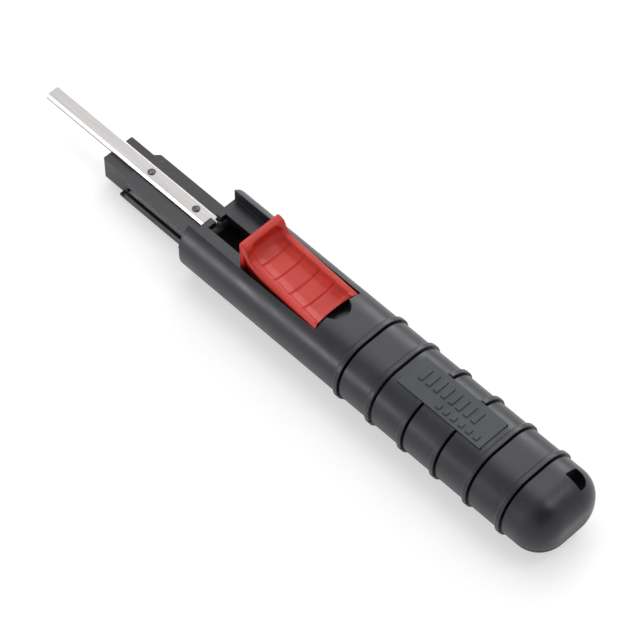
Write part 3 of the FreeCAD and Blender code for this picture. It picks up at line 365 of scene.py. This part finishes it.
HANDLE = handle_finish()
NOSE = nose_finish()
SLED = moulded_plastic("sled_black_plastic", (0.0015, 0.0015, 0.002, 1.0), (0.006, 0.006, 0.007, 1.0), 0.6,
                       dust=0.0, scratches=0.1, gloss=0.12)[0]
RED = moulded_plastic("thumb_red_plastic", (0.38, 0.011, 0.005, 1.0), (0.56, 0.032, 0.014, 1.0), 0.38,
                      grain=0.3, grain_height=0.008, edge=0.35, rub=0.5, dust=0.10, scratches=0.2,
                      gloss=0.35, sheen_spread=0.05)[0]
GLIDE = moulded_plastic("glide_white_plastic", (0.62, 0.60, 0.55, 1.0), (0.75, 0.74, 0.70, 1.0), 0.5)[0]
# the strip gets painted shade on its upright faces and a painted white highlight on its bevels
STRIP = steel("strip_steel_rolled", (0.315, 0.30, 0.30, 1.0), (0.27, 0.255, 0.255, 1.0), 0.42,
              line_height=0.0008, upright_shade=0.6, banding=0.35, bevel_highlight=1.0)
SPINE = steel("spine_steel_ground", (1.0, 0.98, 0.92, 1.0), (0.85, 0.83, 0.78, 1.0), 0.45, lines=0.15,
              metal=0.25)
SCREW = steel("screw_steel_blackened", (0.24, 0.24, 0.25, 1.0), (0.10, 0.10, 0.11, 1.0), 0.38, lines=0.2)
RIVET = steel("rivet_steel_dull", (0.20, 0.195, 0.19, 1.0), (0.07, 0.068, 0.066, 1.0), 0.38, lines=0.25)
SPRING = steel("spring_wire_steel", (0.55, 0.54, 0.52, 1.0), (0.34, 0.33, 0.32, 1.0), 0.28)

FINISH_OF = {
    "upper_shell": HANDLE,
    "lower_shell": HANDLE,
    "upper_nose_guide": NOSE,
    "lower_nose_guide": NOSE,
    "sled": SLED,
    "blade": STRIP,
    "spine_strip": SPINE,
    "return_spring": SPRING,
    "spring_pin_front": RIVET,
    "spring_pin_rear": RIVET,
    "sled_glide_left": GLIDE,
    "sled_glide_right": GLIDE,
}
for node_name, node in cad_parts.items():
    finish = FINISH_OF.get(node_name, SCREW)
    for slot in node.material_slots:
        slot.material = finish
    if not node.material_slots:
        node.data.materials.append(finish)


# ---------------------------------------------------------------------------
# Mesh helpers
# ---------------------------------------------------------------------------
def smooth_line(points, steps):
    """Points of a Catmull-Rom curve through the given ones, so many for each stretch."""
    padded = [points[0]] + list(points) + [points[-1]]
    line = []
    for a, b, c, d in zip(padded, padded[1:], padded[2:], padded[3:]):
        for step in range(steps):
            t = step / steps
            line.append(tuple(0.5 * (2 * q + (r - p) * t + (2 * p - 5 * q + 4 * r - s) * t ** 2
                                     + (3 * q - p - 3 * r + s) * t ** 3)
                              for p, q, r, s in zip(a, b, c, d)))
    return line + [tuple(points[-1])]


def ease(value):
    """Smooth rise from 0 to 1 over the values 0 to 1."""
    held = min(1.0, max(0.0, value))
    return held * held * (3 - 2 * held)


def finished(name, bm, finish, body, crease=35.0):
    """Turn the mesh into a piece that rides on a body, smooth but for its sharp edges."""
    bmesh.ops.remove_doubles(bm, verts=bm.verts, dist=1e-7)
    bmesh.ops.recalc_face_normals(bm, faces=bm.faces)
    mesh = bpy.data.meshes.new(name)
    bm.to_mesh(mesh)
    bm.free()
    mesh.materials.append(finish)
    for face in mesh.polygons:
        face.use_smooth = True
    mesh.set_sharp_from_angle(angle=math.radians(crease))
    piece = bpy.data.objects.new(name, mesh)
    bpy.context.scene.collection.objects.link(piece)
    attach(piece, body)
    return piece


def add_loops(bm, loops, closed_ends=True):
    """Skin between closed loops of points, with the two ends capped unless told otherwise."""
    rows = [[bm.verts.new(point) for point in loop] for loop in loops]
    count = len(rows[0])
    for low, high in zip(rows, rows[1:]):
        for i in range(count):
            j = (i + 1) % count
            bm.faces.new((low[i], low[j], high[j], high[i]))
    if closed_ends:
        bm.faces.new(rows[0])
        bm.faces.new(rows[-1])


def add_prism(bm, outline, low, high, ease_by=0.15 * MM):
    """Closed prism across the tool: an outline in X and Z between two values of Y, edges eased."""
    part = bmesh.new()
    near = [part.verts.new((x, low, z)) for x, z in outline]
    far = [part.verts.new((x, high, z)) for x, z in outline]
    count = len(outline)
    part.faces.new(near)
    part.faces.new(far)
    for i in range(count):
        j = (i + 1) % count
        part.faces.new((near[i], near[j], far[j], far[i]))
    bmesh.ops.recalc_face_normals(part, faces=part.faces)
    bmesh.ops.bevel(part, geom=list(part.edges), offset=ease_by, segments=2, affect="EDGES", profile=0.6)
    keep = bpy.data.meshes.new("prism_part")
    part.to_mesh(keep)
    part.free()
    bm.from_mesh(keep)
    bpy.data.meshes.remove(keep)


# ---------------------------------------------------------------------------
# Thumb slide: a front wall that turns over into a long dished ramp
# ---------------------------------------------------------------------------
SLIDE_FRONT = slide_high.x
SLIDE_TOP = slide_high.z
SLIDE_LENGTH = slide_high.x - slide_low.x
HALF_REAR = slide_high.y
HALF_FRONT = HALF_REAR - 1.2 * MM
RIM_WIDTH = 1.9 * MM
DISH_DEPTH = 0.75 * MM
DISH_HOLLOW = 0.9 * MM
DISH_CORNER = 3.0 * MM
DISH_WALL = 1.3 * MM
EDGE_EASE = 0.4 * MM
ACROSS_STEPS = 44
REAR_BOW = 1.9 * MM
REAR_LIP = 1.5 * MM
GROOVES = [7.8, 13.8, 20.3, 26.5]
GROOVE_HALF = 0.32 * MM
GROOVE_DEPTH = 0.34 * MM
LIP_RAISE = 0.22 * MM
LIP_SLOPE = 0.35 * MM
BOW_STARTS = 0.62
LEG_BACK = 23.3 * MM
LEG_HALF = 3.4 * MM
LEG_OVERLAP = 1.0 * MM
SKIRT_INSET = 0.9 * MM
SKIRT_WALL = 1.4 * MM

# spacing of the ramp's stations in millimetres: at a groove, at the rear lip and elsewhere
GROOVE_SPACING, LIP_SPACING, PLAIN_SPACING = 0.07, 0.2, 0.42


def slide_profiles():
    """Outer and inner line of the ramp's side view, as distances back from the front and heights
    below the top, in millimetres."""
    rise = (SLIDE_TOP - SLIDE_FOOT) / MM
    outer = [(0, rise), (0, rise * 0.7), (0, rise * 0.4), (0, 0.9), (0.5, 0.1), (1.6, 0.15), (2.9, 0.95),
             (3.6, 2.3), (4.2, 4.0), (5.6, 5.5), (8.2, 6.2), (11.2, 6.75), (15.2, 7.35), (19.3, 8.0),
             (24.2, 8.7), (29.2, 9.4), (SLIDE_LENGTH / MM, 10.1)]
    inner = [(2.0, rise), (2.0, rise * 0.75), (2.0, rise * 0.5), (2.1, 4.6), (2.2, 4.9), (2.35, 5.2),
             (2.7, 5.6), (3.1, 6.1), (3.7, 6.7), (4.9, 7.7), (7.2, 8.8), (9.8, 9.5), (14.4, 10.2),
             (18.8, 10.7), (23.8, 11.1), (28.9, 11.4), (SLIDE_LENGTH / MM - 0.5, 11.2)]
    return outer, inner


def slide_stations():
    """Matching outer and inner points along the ramp, close together at the grooves."""
    outer, inner = slide_profiles()
    steps = 24
    pairs = list(zip(smooth_line(outer, steps), smooth_line(inner, steps)))
    kept = [pairs[0]]
    for pair in pairs[1:]:
        gap = math.dist(pair[0], kept[-1][0])
        back = pair[0][0]
        near_groove = any(-0.6 < back - groove < 1.6 for groove in GROOVES) and pair[0][1] > 5.0
        near_lip = back > (SLIDE_LENGTH - REAR_LIP - REAR_BOW) / MM - 0.8
        if gap >= (GROOVE_SPACING if near_groove else LIP_SPACING if near_lip else PLAIN_SPACING):
            kept.append(pair)
    if kept[-1] is not pairs[-1]:
        kept[-1] = pairs[-1]
    return kept


def dish_inside(run, across, half):
    """How far a spot is inside the dish's rounded outline, given its run back along the ramp."""
    from_front = run - DISH_FRONT
    from_side = half - RIM_WIDTH - abs(across)
    short, other = DISH_CORNER - from_front, DISH_CORNER - from_side
    if short > 0 and other > 0:
        return DISH_CORNER - math.hypot(short, other)
    return min(from_front, from_side)


def make_thumb_slide():
    bm = bmesh.new()
    stations = slide_stations()
    runs = [0.0]
    for (a, _), (b, _) in zip(stations, stations[1:]):
        runs.append(runs[-1] + math.dist(a, b) * MM)
    loops = []
    for index, (outer, inner) in enumerate(stations):
        before = stations[max(0, index - 1)][0]
        after = stations[min(len(stations) - 1, index + 1)][0]
        tangent = Vector((after[0] - before[0], after[1] - before[1])).normalized()
        inward = Vector((-tangent.y, tangent.x))
        back, drop = outer[0] * MM, outer[1] * MM
        fall = Vector((inner[0] * MM - back, inner[1] * MM - drop))
        half = HALF_FRONT + (HALF_REAR - HALF_FRONT) * back / SLIDE_LENGTH
        on_ramp = outer[1] > 4.5 and outer[0] > 3.0
        flat = half - EDGE_EASE
        columns = [-half, -(half - EDGE_EASE * 0.3)]
        columns += [flat * (2 * step / ACROSS_STEPS - 1) for step in range(ACROSS_STEPS + 1)]
        columns += [half - EDGE_EASE * 0.3, half]
        over, under = [], []
        for y in columns:
            share = ease((back / SLIDE_LENGTH - BOW_STARTS) / (1 - BOW_STARTS))
            bow = REAR_BOW * share * (1 - min(1.0, abs(y) / half) ** 2.6)
            corner = max(0.0, abs(y) - flat)
            depth = EDGE_EASE - math.sqrt(max(0.0, EDGE_EASE ** 2 - corner ** 2))
            inside = dish_inside(runs[index], y, half)
            if inside > 0:
                depth += DISH_DEPTH * ease(inside / DISH_WALL)
                depth += DISH_HOLLOW * ease(inside / (3 * DISH_WALL)) * (1 - (y / half) ** 2)
                if on_ramp:
                    for groove in GROOVES:
                        off = abs(back - bow - groove * MM)
                        cut = max(0.0, 1 - off / GROOVE_HALF) ** 0.7
                        depth += GROOVE_DEPTH * cut * ease(inside / (0.5 * MM))
                depth -= LIP_RAISE * ease((back - (SLIDE_LENGTH - REAR_LIP)) / LIP_SLOPE)
            over.append((SLIDE_FRONT - back - inward.x * depth + bow, y, SLIDE_TOP - drop - inward.y * depth))
            foot = 1.0 - 0.3 * MM / fall.length if corner > 0 else 1.0
            sunk = max(0.0, depth - 0.2 * MM) if on_ramp else 0.0
            under.append((SLIDE_FRONT - back - fall.x * foot - inward.x * sunk + bow, y,
                          SLIDE_TOP - drop - fall.y * foot - inward.y * sunk))
        loops.append(over + under[::-1])
    add_loops(bm, loops, closed_ends=False)
    bm.verts.ensure_lookup_table()
    size = len(loops[0])
    # close each end with strips from the top edge to the matching point of the underside
    for first in (0, size * (len(loops) - 1)):
        ring = bm.verts[first:first + size]
        for k in range(size // 2 - 1):
            bm.faces.new((ring[k], ring[k + 1], ring[size - 2 - k], ring[size - 1 - k]))

    # skirts inside the edges, the rib between them and the leg down to the sled
    wedge = [(SLIDE_FRONT - u * MM, SLIDE_TOP - v * MM)
             for u, v in ((1.0, 4.4), (2.6, 6.2), (4.9, 7.9), (11.3, 9.4), (LEG_BACK / MM, 10.95))]
    wedge += [(SLIDE_FRONT - LEG_BACK, SLIDE_FOOT), (SLIDE_FRONT - 1.0 * MM, SLIDE_FOOT)]
    skirt = HALF_FRONT - SKIRT_INSET
    for low, high in ((skirt - SKIRT_WALL, skirt), (-skirt, SKIRT_WALL - skirt), (-LEG_HALF, LEG_HALF)):
        add_prism(bm, wedge, low, high)
    leg_top = SLIDE_FOOT + LEG_OVERLAP
    leg = [(SLIDE_FRONT, slide_low.z), (SLIDE_FRONT, leg_top),
           (SLIDE_FRONT - LEG_BACK, leg_top), (SLIDE_FRONT - LEG_BACK, slide_low.z)]
    add_prism(bm, leg, -LEG_HALF, LEG_HALF)
    piece = finished("thumb_slide", bm, RED, "slide")
    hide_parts("thumb_slider")
    return piece


def dish_front_run():
    """Run along the ramp to where the dish starts, just behind the land."""
    outer, _ = slide_profiles()
    line = smooth_line(outer, 24)
    run = 0.0
    for a, b in zip(line, line[1:]):
        run += math.dist(a, b) * MM
        if b[0] >= 2.4 and b[1] < 3.0:
            return run
    raise ValueError("the ramp has no land")


DISH_FRONT = dish_front_run()
make_thumb_slide()


# ---------------------------------------------------------------------------
# Rivets: turned heads set in a shallow countersink; radius and height in millimetres
# ---------------------------------------------------------------------------
RIVET_SHANK = 1.25
RIVET_PROFILE = [(1.40, -0.02), (1.38, 0.05), (1.32, 0.08), (1.24, 0.05), (1.12, -0.25), (1.02, -0.30),
                 (0.94, -0.22), (0.88, 0.04), (0.80, 0.12), (0.66, 0.13), (0.50, 0.06), (0.38, -0.10),
                 (0.16, -0.16)]


def make_rivet(node_name):
    low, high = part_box(node_name)
    centre = (low + high) / 2
    bm = bmesh.new()
    outline = [(RIVET_SHANK, (low.z - STRIP_TOP) / MM), (RIVET_SHANK, -0.1)] + RIVET_PROFILE
    loops = []
    turns = 48
    for radius, height in outline:
        loops.append([(centre.x + radius * MM * math.cos(2 * math.pi * k / turns),
                       centre.y + radius * MM * math.sin(2 * math.pi * k / turns),
                       STRIP_TOP + height * MM) for k in range(turns)])
    add_loops(bm, loops)
    piece = finished(node_name + "_turned", bm, RIVET, "slide", 50.0)
    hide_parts(node_name)
    return piece


for rivet_name in ("blade_rivet_front", "blade_rivet_rear"):
    make_rivet(rivet_name)


# ---------------------------------------------------------------------------
# Floor, light and camera
# ---------------------------------------------------------------------------
def make_floor():
    material, wires, shader = new_finish("floor_white_card")
    tooth = wires.noise(wires.place(), 60.0, 3.0)
    wires.feed(shader.inputs["Base Color"],
               wires.blend(tooth, (0.46, 0.46, 0.457, 1.0), (0.48, 0.48, 0.477, 1.0)))
    shader.inputs["Roughness"].default_value = 0.9
    shader.inputs["Specular IOR Level"].default_value = 0.1
    shader.inputs["Emission Color"].default_value = (1.0, 1.0, 1.0, 1.0)
    shader.inputs["Emission Strength"].default_value = 0.5
    bm = bmesh.new()
    bmesh.ops.create_grid(bm, x_segments=8, y_segments=8, size=2.5)
    mesh = bpy.data.meshes.new("floor")
    bm.to_mesh(mesh)
    bm.free()
    mesh.materials.append(material)
    floor = bpy.data.objects.new("floor", mesh)
    floor.location.z = cad_low.z - 0.05 * MM
    bpy.context.scene.collection.objects.link(floor)


def make_sky(strength):
    """White room with dim stretches of ceiling and wall, where no lamp hangs."""
    world = bpy.data.worlds.new("studio_white")
    world.use_nodes = True
    wires = Wiring(world.node_tree)
    backdrop = world.node_tree.nodes["Background"]
    direction = wires.add("ShaderNodeTexCoord").outputs["Generated"]
    room = (1.0, 1.0, 1.0, 1.0)
    for aim, low, high in DIM_STRETCHES:
        towards = wires.add("ShaderNodeVectorMath", {0: direction, 1: tuple(Vector(aim).normalized())},
                            operation="DOT_PRODUCT")
        dim = wires.ramp(towards.outputs["Value"], low, high)
        room = wires.blend(dim, room, (0.12, 0.12, 0.13, 1.0))
    wires.feed(backdrop.inputs["Color"], room)
    backdrop.inputs["Strength"].default_value = strength
    bpy.context.scene.world = world


def make_softbox(name, towards, distance, width, height, power, over=(0.0, 0.0, 0.0)):
    """Square light that looks at a spot on the tool from the given direction."""
    light = bpy.data.lights.new(name, "AREA")
    light.shape = "RECTANGLE"
    light.size = width
    light.size_y = height
    light.energy = power
    lamp = bpy.data.objects.new(name, light)
    direction = Vector(towards).normalized()
    lamp.location = Vector(over) + direction * distance
    lamp.rotation_euler = direction.to_track_quat("Z", "Y").to_euler()
    bpy.context.scene.collection.objects.link(lamp)


VIEW_DIRECTION = Vector((-0.4156, 0.4011, 0.8163)).normalized()
VIEW_DISTANCE = 1.0148
VIEW_ROLL = math.radians(-0.51)
VIEW_LENS = 185.6
VIEW_AIM_X = -6.8 * MM
VIEW_SLIDE = Vector((0.87 * MM, -2.10 * MM, 0.0))

# a direction in the sky, and the closeness to it at which the dimming starts and is full
DIM_STRETCHES = [((-0.45, 0.35, 0.82), 0.70, 0.93)]


def make_camera():
    camera = bpy.data.cameras.new("camera")
    camera.lens = VIEW_LENS
    camera.sensor_width = 36.0
    camera.clip_start = 0.01
    holder = bpy.data.objects.new("camera", camera)
    turn = VIEW_DIRECTION.to_track_quat("Z", "Y").to_matrix() @ Matrix.Rotation(VIEW_ROLL, 3, "Z")
    aim = Vector((VIEW_AIM_X, 0.0, AXIS)) + turn @ VIEW_SLIDE
    holder.matrix_world = Matrix.Translation(aim + VIEW_DIRECTION * VIEW_DISTANCE) @ turn.to_4x4()
    bpy.context.scene.collection.objects.link(holder)
    bpy.context.scene.camera = holder


make_floor()
make_sky(0.95)
make_softbox("over_front", (0.42, -0.30, 0.86), 0.9, 0.8, 0.65, 2.8)
make_softbox("over_butt", (-0.30, -0.25, 0.93), 0.9, 0.4, 0.5, 1.8, (-0.1, 0.0, 0.0))
make_softbox("low_mouth", (0.40, 0.90, 0.20), 0.40, 0.16, 0.10, 0.45, (MOUTH, 0.0, 0.0))
make_softbox("rim_back", (0.35, -1.0, 0.6), 1.1, 0.8, 0.5, 5.0)
make_camera()
bpy.context.scene.view_settings.view_transform = "Standard"
